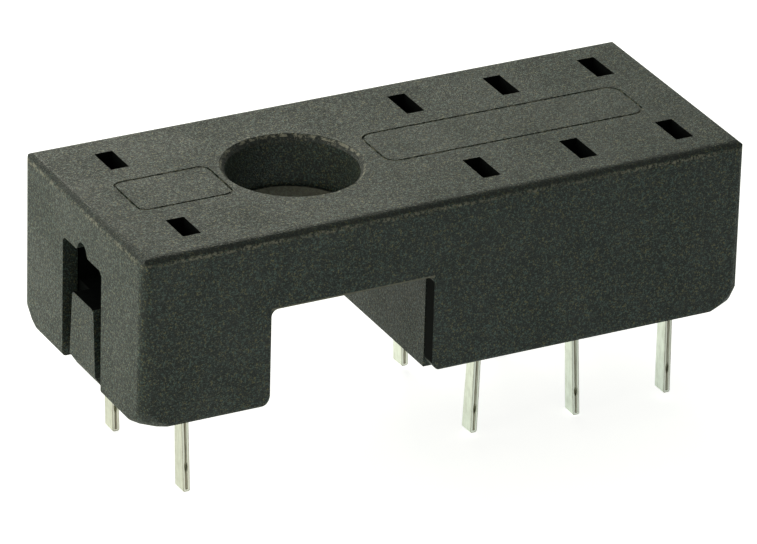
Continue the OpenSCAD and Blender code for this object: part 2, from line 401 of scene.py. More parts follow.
def _rub_and_light_body(wiring: Wiring, given: object, result: object) -> None:
    """Fills the group of the edge round a flat top: polish and scuffs, with painted shade
    and painted highlights.

    The turn is (depth below the top - distance inside the side) / radius: about -1 where
    the round leaves the top and +1 where it reaches the side. The first output marks the dark
    upper part of the round, partly polish and partly painted shade. The second marks the pale
    broken line under it, which comes and goes in patches, partly scuffs and partly a painted
    highlight, and the painted highlight along the lower edge of the sides over the arch, at
    the height Line. The third marks a pale broken line along the bottom of the fine grooves
    in the top.

    Args:
        wiring: the group's wiring.
        given: its inputs.
        result: its outputs.
    """
    place = given["Place"]
    x, y, z = wiring.split(place)
    drop = wiring.math("SUBTRACT", given["Top"], z)
    inside_y = wiring.math("SUBTRACT", given["Half Width"], wiring.math("ABSOLUTE", y))
    inside_x = wiring.math("SUBTRACT", given["Half Length"], wiring.math("ABSOLUTE", x))
    inside = wiring.math("MINIMUM", inside_x, inside_y)
    turn = wiring.math("DIVIDE", wiring.math("SUBTRACT", drop, inside), given["Radius"])
    ragged = wiring.math("SUBTRACT", wiring.noise(place, 4200.0, 3.0, 0.7), 0.5)
    turn = wiring.math("ADD", turn, wiring.times(ragged, 0.6))
    # dark upper part of the top's edge round: partly polish, partly painted shade
    mottled = wiring.ramp(wiring.noise(place, 2400.0, 3.0, 0.8), 0.38, 0.58, 0.4, 1.0)
    wiring.join(wiring.times(wiring.band(turn, -0.85, 0.3, 0.15), mottled), result["Polish"])
    # pale broken line under the round: partly scuffs, partly a painted highlight
    broken = wiring.ramp(wiring.noise(place, 5600.0, 3.0, 0.8), 0.43, 0.6)
    patches = wiring.ramp(wiring.noise(place, 300.0, 2.0, 0.6), 0.38, 0.6, 0.45, 1.0)
    scuff_and_highlight = wiring.times(wiring.band(turn, 0.35, 0.8, 0.15), broken, patches)
    # painted highlight along the lower edge of the sides over the arch
    above = wiring.math("SUBTRACT", z, given["Line"])
    line = wiring.times(
        wiring.band(above, -50 * MICRON, 70 * MICRON, 20 * MICRON),
        wiring.ramp(inside_y, 120 * MICRON, 40 * MICRON),
        wiring.math("GREATER_THAN", x, given["Line Start"]),
        wiring.math("LESS_THAN", x, given["Line End"]),
    )
    wiring.join(wiring.math("MAXIMUM", scuff_and_highlight, wiring.times(line, 0.8)), result["Scuff"])
    # pale broken line along the bottom of the fine grooves in the top
    sunk = wiring.band(drop, 20 * MICRON, 120 * MICRON, 10 * MICRON)
    off_edge = wiring.ramp(inside, 1.0 * MM, 1.2 * MM)
    patchy = wiring.ramp(wiring.noise(place, 2600.0, 3.0, 0.8), 0.45, 0.6)
    wiring.join(wiring.times(sunk, off_edge, patchy), result["Groove"])


RUBBED_AND_LIT_EDGE = Effect(
    "rubbed_and_lit_edge",
    (
        ("Place", VECTOR, None),
        ("Half Length", FLOAT, 0.01),
        ("Half Width", FLOAT, 0.01),
        ("Top", FLOAT, 0.01),
        ("Radius", FLOAT, 0.0005),
        ("Line", FLOAT, 0.0),
        ("Line Start", FLOAT, 0.0),
        ("Line End", FLOAT, 0.0),
    ),
    ("Polish", "Scuff", "Groove"),
    _rub_and_light_body,
)


def _rim_body(wiring: Wiring, given: object, result: object) -> None:
    """Fills the group of marks round the mouth of a round hole in a flat top, with painted
    shade, painted highlights and painted light among them.

    Distance past the rim is sqrt(dx^2 + y^2) - radius, a little ragged. The first output
    marks the chamfer itself, which gets painted shade; the second marks the small pale spots
    on it and just outside it, partly chipped plastic and partly painted highlights; and the
    third marks the hole's own wall, for the painted light in the base.

    Args:
        wiring: the group's wiring.
        given: its inputs.
        result: its outputs.
    """
    place = given["Place"]
    x, y, z = wiring.split(place)
    dx = wiring.math("SUBTRACT", x, given["Centre"])
    away = wiring.math("SQRT", wiring.math("ADD", wiring.times(dx, dx), wiring.times(y, y)))
    past = wiring.math("SUBTRACT", away, given["Radius"])
    drop = wiring.math("SUBTRACT", given["Top"], z)
    near_top = wiring.ramp(drop, 0.3 * MM, 0.45 * MM, 1.0, 0.0)
    ragged = wiring.math("SUBTRACT", wiring.noise(place, 5000.0, 2.0, 0.7), 0.5)
    past = wiring.math("ADD", past, wiring.times(ragged, 120 * MICRON))
    # the chamfer, which gets painted shade
    chamfer = wiring.band(past, 0.0, 240 * MICRON, 30 * MICRON)
    wiring.join(wiring.times(chamfer, near_top), result["Mouth"])
    # small pale spots: partly chipped plastic, partly painted highlights
    chips_and_glints = wiring.ramp(wiring.noise(place, 4300.0, 3.0, 0.8), 0.54, 0.66)
    patches = wiring.ramp(wiring.noise(place, 420.0, 1.0, 0.5), 0.4, 0.6)
    ring = wiring.band(past, 20 * MICRON, 400 * MICRON, 60 * MICRON)
    wiring.join(wiring.times(ring, near_top, chips_and_glints, patches), result["Chips"])
    # the hole's own wall, for painted light
    wiring.join(wiring.ramp(past, 60 * MICRON, 0.0), result["Wall"])


WORN_AND_LIT_RIM = Effect(
    "worn_and_lit_rim",
    (("Place", VECTOR, None), ("Centre", FLOAT, 0.0), ("Radius", FLOAT, 0.003), ("Top", FLOAT, 0.01)),
    ("Mouth", "Chips", "Wall"),
    _rim_body,
)


def _speck_body(wiring: Wiring, given: object, result: object) -> None:
    """Fills the group of sparse specks: the middles of random cells that pass a choice.

    Args:
        wiring: the group's wiring.
        given: its inputs.
        result: its outputs.
    """
    cells = wiring.node("ShaderNodeTexVoronoi", feature="F1")
    wiring.join(given["Place"], cells.inputs["Vector"])
    wiring.join(given["Density"], cells.inputs["Scale"])
    near = wiring.ramp(cells.outputs["Distance"], given["Size"], 0.0)
    red, _, _ = wiring.split(cells.outputs["Color"])
    chosen = wiring.math("GREATER_THAN", red, given["Rarity"])
    wiring.join(wiring.times(near, chosen), result["Mask"])


SPECKS = Effect(
    "dust_specks",
    (("Place", VECTOR, None), ("Density", FLOAT, 1500.0), ("Size", FLOAT, 0.12), ("Rarity", FLOAT, 0.9)),
    ("Mask",),
    _speck_body,
)


def _roll_body(wiring: Wiring, given: object, result: object) -> None:
    """Fills the group of rolled strip: noise drawn out along Z, and a coarser mottle.

    Args:
        wiring: the group's wiring.
        given: its inputs.
        result: its outputs.
    """
    stretch = wiring.node("ShaderNodeMapping")
    wiring.join(given["Place"], stretch.inputs["Vector"])
    stretch.inputs["Scale"].default_value = (1.0, 1.0, 0.08)
    wiring.join(wiring.noise(stretch.outputs[0], given["Streaks"], 2.0, 0.6), result["Streak"])
    mottle = wiring.noise(given["Place"], wiring.times(given["Streaks"], 0.16), 3.0, 0.6)
    wiring.join(mottle, result["Mottle"])


ROLLED = Effect(
    "rolled_strip",
    (("Place", VECTOR, None), ("Streaks", FLOAT, 14000.0)),
    ("Streak", "Mottle"),
    _roll_body,
)


# ---- finishes


@dataclass(frozen=True)
class WearAndLight:
    """Where a moulding is abraded, and where light and shade are painted on it, in metres.

    Attributes:
        edge_radius: radius of the edges around its top.
        line: height of the painted highlight along the lower edge over the arch.
        highlight_ends: X where that painted highlight starts and ends.
        hole_x: X of the round hole.
        hole_radius: its radius.
        hole_top: height of its mouth.
        wall_light: how pale its wall is painted, as painted light, from 0 to 1.
    """

    edge_radius: float
    line: float
    highlight_ends: tuple[float, float]
    hole_x: float
    hole_radius: float
    hole_top: float
    wall_light: float


@dataclass(frozen=True)
class MouldedPlastic:
    """Black thermoplastic with moulded grain, polish and scuffs at the edges of the top, and
    painted shade, painted highlights and painted light on those edges, over the arch and
    round the passage.

    Attributes:
        name: the material's name.
        dark: colour of the grain's hollows.
        light: colour of the grain's tops.
        warm: colour of the few warm grains.
        rubbed_and_shaded: dark band on the top's edges and chamfer: polish and painted shade.
        scuffed_and_lit: pale colour of scuffs, specks, groove bottoms and painted light.
        roughness: mean roughness.
        glint: how far a grain's roughness lies from the mean.
        cloud: how far the roughness drifts over a face.
        grains: grains for each metre.
        relief: height of the grain in metres.
    """

    name: str
    dark: Colour = (0.002, 0.006, 0.005)
    light: Colour = (0.048, 0.088, 0.076)
    warm: Colour = (0.13, 0.12, 0.045)
    rubbed_and_shaded: Colour = (0.006, 0.008, 0.008)
    scuffed_and_lit: Colour = (0.27, 0.255, 0.2)
    roughness: float = 0.56
    glint: float = 0.14
    cloud: float = 0.04
    grains: float = 16000.0
    relief: float = 45 * MICRON

    def build(self, low: Vector, high: Vector, wear_and_light: WearAndLight) -> bpy.types.Material:
        """Builds the material for a moulding that fills a box.

        Args:
            low: the moulding's lowest corner.
            high: its highest corner.
            wear_and_light: where it is abraded and where light and shade are painted.

        Returns:
            The material.
        """
        material, wiring, shader = new_material(self.name)
        place = object_place(wiring)
        grain = wiring.group(GRAIN.tree(), Place=place, Grains=self.grains)
        rub = wiring.group(
            RUBBED_AND_LIT_EDGE.tree(),
            Place=place,
            Half_Length=(high.x - low.x) / 2,
            Half_Width=(high.y - low.y) / 2,
            Top=high.z,
            Radius=wear_and_light.edge_radius,
            Line=wear_and_light.line,
            Line_Start=wear_and_light.highlight_ends[0],
            Line_End=wear_and_light.highlight_ends[1],
        )
        rim = wiring.group(
            WORN_AND_LIT_RIM.tree(), Place=place, Centre=wear_and_light.hole_x, Radius=wear_and_light.hole_radius, Top=wear_and_light.hole_top
        )
        specks = wiring.group(SPECKS.tree(), Place=place, Density=1500.0, Size=0.1, Rarity=0.95)
        tone = wiring.ramp(grain.outputs["Tone"], 0.47, 0.66)
        warmth = wiring.ramp(grain.outputs["Hue"], 0.5, 0.62)
        colour = wiring.mix(tone, self.dark, wiring.mix(warmth, self.light, self.warm))
        # dark band on the top's edges and the chamfer: partly polish, partly painted shade
        dulled_and_shaded = wiring.math("MAXIMUM", rub.outputs["Polish"], rim.outputs["Mouth"])
        colour = wiring.mix(wiring.times(dulled_and_shaded, 0.7), colour, self.rubbed_and_shaded)
        # paler: painted light on the wall of the base's passage, and the grooves' pale bottoms
        faded_and_lit = wiring.math(
            "MAXIMUM",
            wiring.times(rim.outputs["Wall"], wear_and_light.wall_light),
            wiring.times(rub.outputs["Groove"], 0.8),
        )
        colour = wiring.mix(faded_and_lit, colour, self.scuffed_and_lit)
        # pale marks: partly scuffs and chipped plastic, partly painted highlights, as over the arch
        pale = wiring.math("MAXIMUM", rub.outputs["Scuff"], rim.outputs["Chips"])
        colour = wiring.mix(wiring.times(pale, 0.75), colour, self.scuffed_and_lit)
        colour = wiring.mix(wiring.times(specks.outputs["Mask"], 0.6), colour, self.scuffed_and_lit)
        wiring.join(colour, shader.inputs["Base Color"])
        spread = wiring.ramp(grain.outputs["Cloud"], 0.3, 0.7, -self.cloud, self.cloud)
        rough, smooth = self.roughness + self.glint, self.roughness - self.glint
        glint = wiring.ramp(grain.outputs["Tone"], 0.35, 0.65, rough, smooth)
        wiring.join(wiring.math("ADD", glint, spread), shader.inputs["Roughness"])
        add_bump(wiring, shader, grain.outputs["Height"], self.relief)
        return material


@dataclass(frozen=True)
class DeepShade:
    """Painted shade: the same plastic made near-black, for faces where hardly any light gets in.

    Attributes:
        name: the material's name.
        colour: its colour in the grain's hollows; the tops have twice as much.
        grains: grains for each metre.
    """

    name: str
    colour: Colour = (0.0015, 0.002, 0.002)
    grains: float = 9000.0

    def build(self) -> bpy.types.Material:
        """Builds the material.

        Returns:
            The material.
        """
        material, wiring, shader = new_material(self.name)
        place = object_place(wiring)
        grain = wiring.group(GRAIN.tree(), Place=place, Grains=self.grains)
        tone = wiring.ramp(grain.outputs["Tone"], 0.4, 0.62)
        twice = tuple(2 * value for value in self.colour)
        wiring.join(wiring.mix(tone, self.colour, twice), shader.inputs["Base Color"])
        shader.inputs["Roughness"].default_value = 0.8
        shader.inputs["Specular IOR Level"].default_value = 0.05
        return material


@dataclass(frozen=True)
class TinnedStrip:
    """Tin-plated strip whose punched edges show bare, brownish metal.

    The mesh's "cut" attribute is 0 on the plated faces and runs from 1 at the inner face to
    2 at the outer face across a cut edge, where torn and sheared bands lie side by side.

    Attributes:
        name: the material's name.
        plate: colour of the plating.
        shade: colour of its darker streaks.
        torn: colour of the torn bands of a cut.
        sheared: colour of its smooth band.
        band: where the smooth band starts and ends, as "cut" values.
        streaks: streaks for each metre across the strip.
        relief: height of the streaks in metres.
    """

    name: str = "tinned_strip"
    plate: Colour = (0.83, 0.84, 0.75)
    shade: Colour = (0.60, 0.60, 0.52)
    torn: Colour = (0.17, 0.125, 0.085)
    sheared: Colour = (0.66, 0.66, 0.60)
    band: tuple[float, float] = (1.28, 1.82)
    streaks: float = 14000.0
    relief: float = 6 * MICRON

    def build(self) -> bpy.types.Material:
        """Builds the material.

        Returns:
            The material.
        """
        material, wiring, shader = new_material(self.name)
        shader.inputs["Metallic"].default_value = 1.0
        place = object_place(wiring)
        rolled = wiring.group(ROLLED.tree(), Place=place, Streaks=self.streaks)
        streak = wiring.ramp(rolled.outputs["Streak"], 0.35, 0.7)
        mottle = wiring.ramp(rolled.outputs["Mottle"], 0.35, 0.75)
        patchy = wiring.times(wiring.math("ADD", streak, mottle), 0.4)
        colour = wiring.mix(patchy, self.plate, self.shade)
        cut = wiring.node("ShaderNodeAttribute", attribute_name="cut").outputs["Fac"]
        ragged = wiring.math("SUBTRACT", rolled.outputs["Mottle"], 0.5)
        across = wiring.math("ADD", cut, wiring.times(ragged, 0.25))
        smooth_band = wiring.band(across, *self.band, 0.1)
        cut_colour = wiring.mix(smooth_band, self.torn, self.sheared)
        edge = wiring.ramp(cut, 0.7, 0.95)
        wiring.join(wiring.mix(edge, colour, cut_colour), shader.inputs["Base Color"])
        wiring.join(wiring.ramp(streak, 0.0, 1.0, 0.3, 0.42), shader.inputs["Roughness"])
        add_bump(wiring, shader, rolled.outputs["Streak"], self.relief)
        return material


# ---- meshes


def add_object(name: str, mesh: bpy.types.Mesh) -> bpy.types.Object:
    """Puts a mesh into the scene at the origin.

    Args:
        name: the piece's name.
        mesh: its mesh, already in place.

    Returns:
        The new object.
    """
    made = bpy.data.objects.new(name, mesh)
    bpy.context.scene.collection.objects.link(made)
    return made


def hand_in(piece: bpy.types.Object, node: str) -> None:
    """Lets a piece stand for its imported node.

    Args:
        piece: the piece.
        node: the node it replaces.
    """
    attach(piece, ROOT_BODY)
    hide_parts(node)
    LOG.info("%s: %d faces", piece.name, len(piece.data.polygons))


def weighted_normals(piece: bpy.types.Object) -> None:
    """Keeps the flats of a softened piece flat.

    Args:
        piece: a piece with smooth faces.
    """
    modifier = piece.modifiers.new("flat_normals", "WEIGHTED_NORMAL")
    modifier.keep_sharp = True
    modifier.weight = 100


FLAT = math.radians(0.5)
SHARP = math.radians(35)


def broken_edges(
    source: bpy.types.Object, name: str, width: float, shape: Callable[[bmesh.types.BMesh], None]
) -> bpy.types.Object:
    """Copies a moulding and breaks its sharp edges, as a mould does.

    The copy's doubles are merged and its flat faces made whole. Then every edge sharper
    than SHARP gets a small round, and the flats keep their flat shading.

    Args:
        source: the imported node.
        name: the new piece's name.
        width: width of the round.
        shape: changes the mesh before its edges are broken.

    Returns:
        The new piece.
    """
    mesh = bpy.data.meshes.new(name)
    work = bmesh.new()
    work.from_mesh(source.data)
    bmesh.ops.remove_doubles(work, verts=work.verts, dist=0.2 * MICRON)
    bmesh.ops.dissolve_limit(work, angle_limit=FLAT, verts=work.verts, edges=work.edges)
    shape(work)
    for face in work.faces:
        face.smooth = True
    work.to_mesh(mesh)
    work.free()
    piece = add_object(name, mesh)
    bevel = piece.modifiers.new("edge_break", "BEVEL")
    bevel.width = width
    bevel.segments = 3
    bevel.limit_method = "ANGLE"
    bevel.angle_limit = SHARP
    bevel.miter_outer = "MITER_ARC"
    weighted_normals(piece)
    return piece


def face_centres(mesh: bpy.types.Mesh) -> np.ndarray:
    """Reads the middle of every face.

    Args:
        mesh: the mesh.

    Returns:
        Centres, shape (n, 3).
    """
    centres = np.empty(len(mesh.polygons) * 3)
    mesh.polygons.foreach_get("center", centres)
    return centres.reshape(-1, 3)


# ---- mouldings


@dataclass(frozen=True)
class Layout:
    """Places that both mouldings share, in metres.

    Attributes:
        bottom: height of the base's underside.
        top: height of the housing's top.
        hole_x: X of the round passage.
        hole_radius: its radius in the housing.
        bridge_hole_radius: its radius in the base's bridge.
        arch: X of the arch's two walls.
        end: X of the end faces.
        side: Y of the side faces.
        inner_end: X of the inside of the end walls.
        inner_side: Y of the inside of the side walls.
        play: gap between the housing's walls and the base.
        plate: thickness of the top plate.
        foot: height of the housing's underside.
        roof: height of the arch's roof.
        bridge_top: height of the base's bridge.
        tongue_top: height of the tongues in the end windows.
    """

    bottom: float
    top: float
    hole_x: float = -4.8 * MM
    hole_radius: float = 3.1 * MM
    bridge_hole_radius: float = 2.95 * MM
    arch: tuple[float, float] = (-8.9 * MM, -0.7 * MM)
    end: float = 15.3 * MM
    side: float = 6.3 * MM
    inner_end: float = 14.55 * MM
    inner_side: float = 5.55 * MM
    play: float = 0.1 * MM
    plate: float = 1.15 * MM
    foot: float = 5.2 * MM
    roof: float = 10.05 * MM
    bridge_top: float = 11.2 * MM
    tongue_top: float = 8.95 * MM


@dataclass
class Moulding:
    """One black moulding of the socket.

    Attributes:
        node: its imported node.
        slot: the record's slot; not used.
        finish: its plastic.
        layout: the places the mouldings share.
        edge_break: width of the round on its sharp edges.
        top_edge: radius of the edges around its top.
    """

    node: str
    slot: Slot
    finish: MouldedPlastic
    layout: Layout
    edge_break: float = 0.05 * MM
    top_edge: float = 0.48 * MM

    def painted_shade_faces(self, centres: np.ndarray) -> np.ndarray:
        """Tells from the faces' centres which faces get the painted shade."""
        raise NotImplementedError

    def wear_and_light(self) -> WearAndLight:
        """Says where the moulding is abraded and where light and shade are painted on it."""
        raise NotImplementedError

    def shape(self, work: bmesh.types.BMesh) -> None:
        """Changes the mesh before its edges are broken."""

    def build(self, nodes: dict[str, bpy.types.Object]) -> bpy.types.Object:
        """Builds the piece, dresses it and lets it stand for its node.

        Args:
            nodes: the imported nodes.

        Returns:
            The piece.
        """
        low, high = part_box(self.node)
        piece = broken_edges(nodes[self.node], f"{self.node}_skin", self.edge_break, self.shape)
        piece.data.materials.append(self.finish.build(low, high, self.wear_and_light()))
        # second material: painted shade, the near-black plastic for the faces that the mask below picks
        # out
        piece.data.materials.append(DeepShade(f"{self.node}_inside").build())
        inside = self.painted_shade_faces(face_centres(piece.data)).astype(np.int32)
        piece.data.polygons.foreach_set("material_index", inside)
        hand_in(piece, self.node)
        return piece


@dataclass
class Housing(Moulding):
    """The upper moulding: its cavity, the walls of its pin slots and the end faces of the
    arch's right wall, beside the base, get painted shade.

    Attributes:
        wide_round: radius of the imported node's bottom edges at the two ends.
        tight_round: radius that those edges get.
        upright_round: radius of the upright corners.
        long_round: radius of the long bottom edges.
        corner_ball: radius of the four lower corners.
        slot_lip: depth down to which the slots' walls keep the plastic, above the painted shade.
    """

    wide_round: float = 0.65 * MM
    tight_round: float = 0.22 * MM
    upright_round: float = 0.5 * MM
    long_round: float = 0.2 * MM
    corner_ball: float = 0.85 * MM
    slot_lip: float = 0.3 * MM

    # Directions of the planes that stand in for a corner's ball, by |X|, |Y| and |Z|
    CORNER_CUTS: ClassVar[tuple[tuple[int, int, int], ...]] = (
        (2, 1, 1), (1, 2, 1), (1, 1, 2), (2, 2, 1), (2, 1, 2), (1, 2, 2), (1, 1, 1),
    )

    def painted_shade_faces(self, centres: np.ndarray) -> np.ndarray:
        """Finds the faces that get the painted shade: the walls of the cavity and of the pin slots,
        and the end faces of the arch's right wall.

        Args:
            centres: middles of the faces, shape (n, 3).

        Returns:
            A mask, true for the faces that get the painted shade.
        """
        x, y, z = centres.T
        place = self.layout
        cavity = (np.abs(x) < place.inner_end + SLACK) & (np.abs(y) < place.inner_side + SLACK)
        cavity &= (z > place.foot + SLACK) & (z < place.top - place.plate + SLACK)
        slots = (np.abs(x) < place.inner_end) & (np.abs(y) < place.inner_side)
        slots &= (z > place.top - place.plate) & (z < place.top - self.slot_lip)
        # painted shade: the end faces of the arch's right wall, beside the base, are made near-black
        joint_painted_shade = (np.abs(x - place.arch[1]) < SLACK) & (np.abs(y) > place.inner_side - SLACK)
        joint_painted_shade &= z < place.roof
        off_passage = np.hypot(x - place.hole_x, y) > place.hole_radius + 2.5 * SLACK
        return joint_painted_shade | ((cavity | slots) & off_passage)

    def wear_and_light(self) -> WearAndLight:
        """Says where the housing is abraded and painted with light and shade: round its top,
        along the lower edge over its arch, which gets a painted highlight, and round its passage.

        Returns:
            The abraded and painted places.
        """
        place = self.layout
        return WearAndLight(
            edge_radius=self.top_edge,
            # painted highlight along the lower edge over the arch, at the roof's height
            line=place.roof,
            highlight_ends=place.arch,
            hole_x=place.hole_x,
            hole_radius=place.hole_radius,
            hole_top=place.top,
            wall_light=0.0,
        )

    def tightened(self, points: np.ndarray) -> np.ndarray:
        """Moves the bottom edges of the two ends from the wide round to the tight one.

        A point at angle a on the wide round goes to angle a on the tight one, and its Y is
        held inside the upright round and the round of the long foot edge.

        Args:
            points: the mesh's points, shape (n, 3).

        Returns:
            The moved points.
        """
        place = self.layout
        wide, tight, upright, long = (
            self.wide_round, self.tight_round, self.upright_round, self.long_round
        )
        on_round, tiny = 1.5 * SLACK, MICRON
        x, y, z = points.T
        along = np.abs(x) - (place.end - wide)
        down = place.foot + wide - z
        moved = (along >= -tiny) & (down >= -tiny)
        moved &= np.abs(np.hypot(along, down) - wide) <= on_round
        turn = np.arctan2(np.maximum(down, 0), np.maximum(along, 0))
        new_x = place.end - tight + tight * np.cos(turn)
        new_z = place.foot + tight - tight * np.sin(turn)
        reach = np.maximum(new_x - (place.end - upright), 0)
        limit = place.side - upright + np.sqrt(np.maximum(upright**2 - reach**2, 0))
        sink = np.maximum(place.foot + long - new_z, 0)
        foot = place.side - long + np.sqrt(np.maximum(long**2 - sink**2, 0))
        at_corner = np.abs(y) > place.side - upright - on_round
        new_y = np.where(at_corner, np.copysign(np.minimum(limit, foot), y), y)
        new = np.stack([np.copysign(new_x, x), new_y, new_z], -1)
        return np.where(moved[:, None], new, points)

    def shape(self, work: bmesh.types.BMesh) -> None:
        """Tightens the ends' bottom edges, then rounds the four corners beside them.

        Each corner is cut by planes n . (p - c) = r that touch a ball of radius r about c.

        Args:
            work: the mesh.
        """
        mesh = bpy.data.meshes.new("shaping")
        work.to_mesh(mesh)
        points = np.empty(len(mesh.vertices) * 3)
        mesh.vertices.foreach_get("co", points)
        mesh.vertices.foreach_set("co", self.tightened(points.reshape(-1, 3)).ravel())
        work.clear()
        work.from_mesh(mesh)
        bpy.data.meshes.remove(mesh)
        place = self.layout
        ball = self.corner_ball
        for along_x in (-1, 1):
            for along_y in (-1, 1):
                corner = Vector((along_x, along_y, -1))
                x, y = along_x * (place.end - ball), along_y * (place.side - ball)
                centre = Vector((x, y, place.foot + ball))
                for weights in self.CORNER_CUTS:
                    normal = Vector(w * c for w, c in zip(weights, corner)).normalized()
                    self.cut(work, centre + normal * ball, normal)

    @staticmethod
    def cut(work: bmesh.types.BMesh, point: Vector, normal: Vector) -> None:
        """Cuts off what lies beyond a plane and closes the cut.

        Args:
            work: the mesh.
            point: a point of the plane.
            normal: its normal, towards what is cut off.
        """
        everything = [*work.verts, *work.edges, *work.faces]
        result = bmesh.ops.bisect_plane(
            work, geom=everything, dist=1e-8, plane_co=point, plane_no=normal, clear_outer=True
        )
        rim = [item for item in result["geom_cut"] if isinstance(item, bmesh.types.BMEdge)]
        bmesh.ops.holes_fill(work, edges=rim)


@dataclass
class Base(Moulding):
    """The lower moulding: its chambers, cores and hook pockets, its tongues' tops and its end
    walls behind the windows get painted shade.

    Attributes:
        pocket_depth: depth of the pockets in its underside.
        bore_painted_light: painted light on the wall of its hole, from 0 to 1.
    """

    pocket_depth: float = 0.4 * MM
    bore_painted_light: float = 0.4

    def painted_shade_faces(self, centres: np.ndarray) -> np.ndarray:
        """Finds the faces that get the painted shade: inside the two blocks, on the tongues' tops
        and on the end walls behind the windows.

        Args:
            centres: middles of the faces, shape (n, 3).

        Returns:
            A mask, true for the faces that get the painted shade.
        """
        x, y, z = centres.T
        place = self.layout
        end, side = place.inner_end - place.play, place.inner_side - place.play
        left, right = place.arch
        inside = (np.abs(x) < end - SLACK) & (np.abs(y) < side - SLACK)
        inside &= (x < left - SLACK) | (x > right + SLACK)
        inside &= z > place.bottom + self.pocket_depth
        # painted shade on faces seen through the end windows: the tongues' tops and the end walls
        tongue_top = np.abs(z - place.tongue_top) < SLACK
        behind_windows_painted_shade = np.abs(np.abs(x) - end) < SLACK
        return tongue_top | behind_windows_painted_shade | inside

    def wear_and_light(self) -> WearAndLight:
        """Says where the base is abraded and painted with light and shade: round the passage
        through its bridge, whose wall gets painted light as if the floor below lit it.

        Returns:
            The abraded and painted places.
        """
        place = self.layout
        return WearAndLight(
            edge_radius=self.top_edge,
            line=0.0,
            highlight_ends=(0.0, 0.0),
            hole_x=place.hole_x,
            hole_radius=place.bridge_hole_radius,
            hole_top=place.bridge_top,
            # painted light on the passage's wall, as if the floor below lit it
            wall_light=self.bore_painted_light,
        )


# ---- contacts


@dataclass(frozen=True)
class StripSizes:
    """Sizes that all the contacts share, in metres; heights start at the tail tips.

    Attributes:
        thickness: of the strip.
        gap: between the folded leaves of a tail.
        tail_width: along Y.
        leaf_width: along Y.
        base: height of the base's underside.
        bend: height at which a bent tail starts to lean.
        floor: height of the base's floor.
        tip_radius: of the corners at the tip.
        edge_radius: of the strip's own edges.
        eye: height of the eye above the tip, its half height and its half width.
        barb: width and height of the barb.
        shoulder: height of the barb over the floor.
        taper: width lost at the mouth and the length over which it goes.
    """

    thickness: float = 0.165 * MM
    gap: float = 0.03 * MM
    tail_width: float = 0.8 * MM
    leaf_width: float = 1.75 * MM
    base: float = 5.1 * MM
    bend: float = 5.45 * MM
    floor: float = 6.4 * MM
    tip_radius: float = 0.1 * MM
    edge_radius: float = 0.02 * MM
    eye: tuple[float, float, float] = (1.25 * MM, 0.26 * MM, 0.05 * MM)
    barb: tuple[float, float] = (0.08 * MM, 0.6 * MM)
    shoulder: float = 0.5 * MM
    taper: tuple[float, float] = (0.2 * MM, 2.4 * MM)


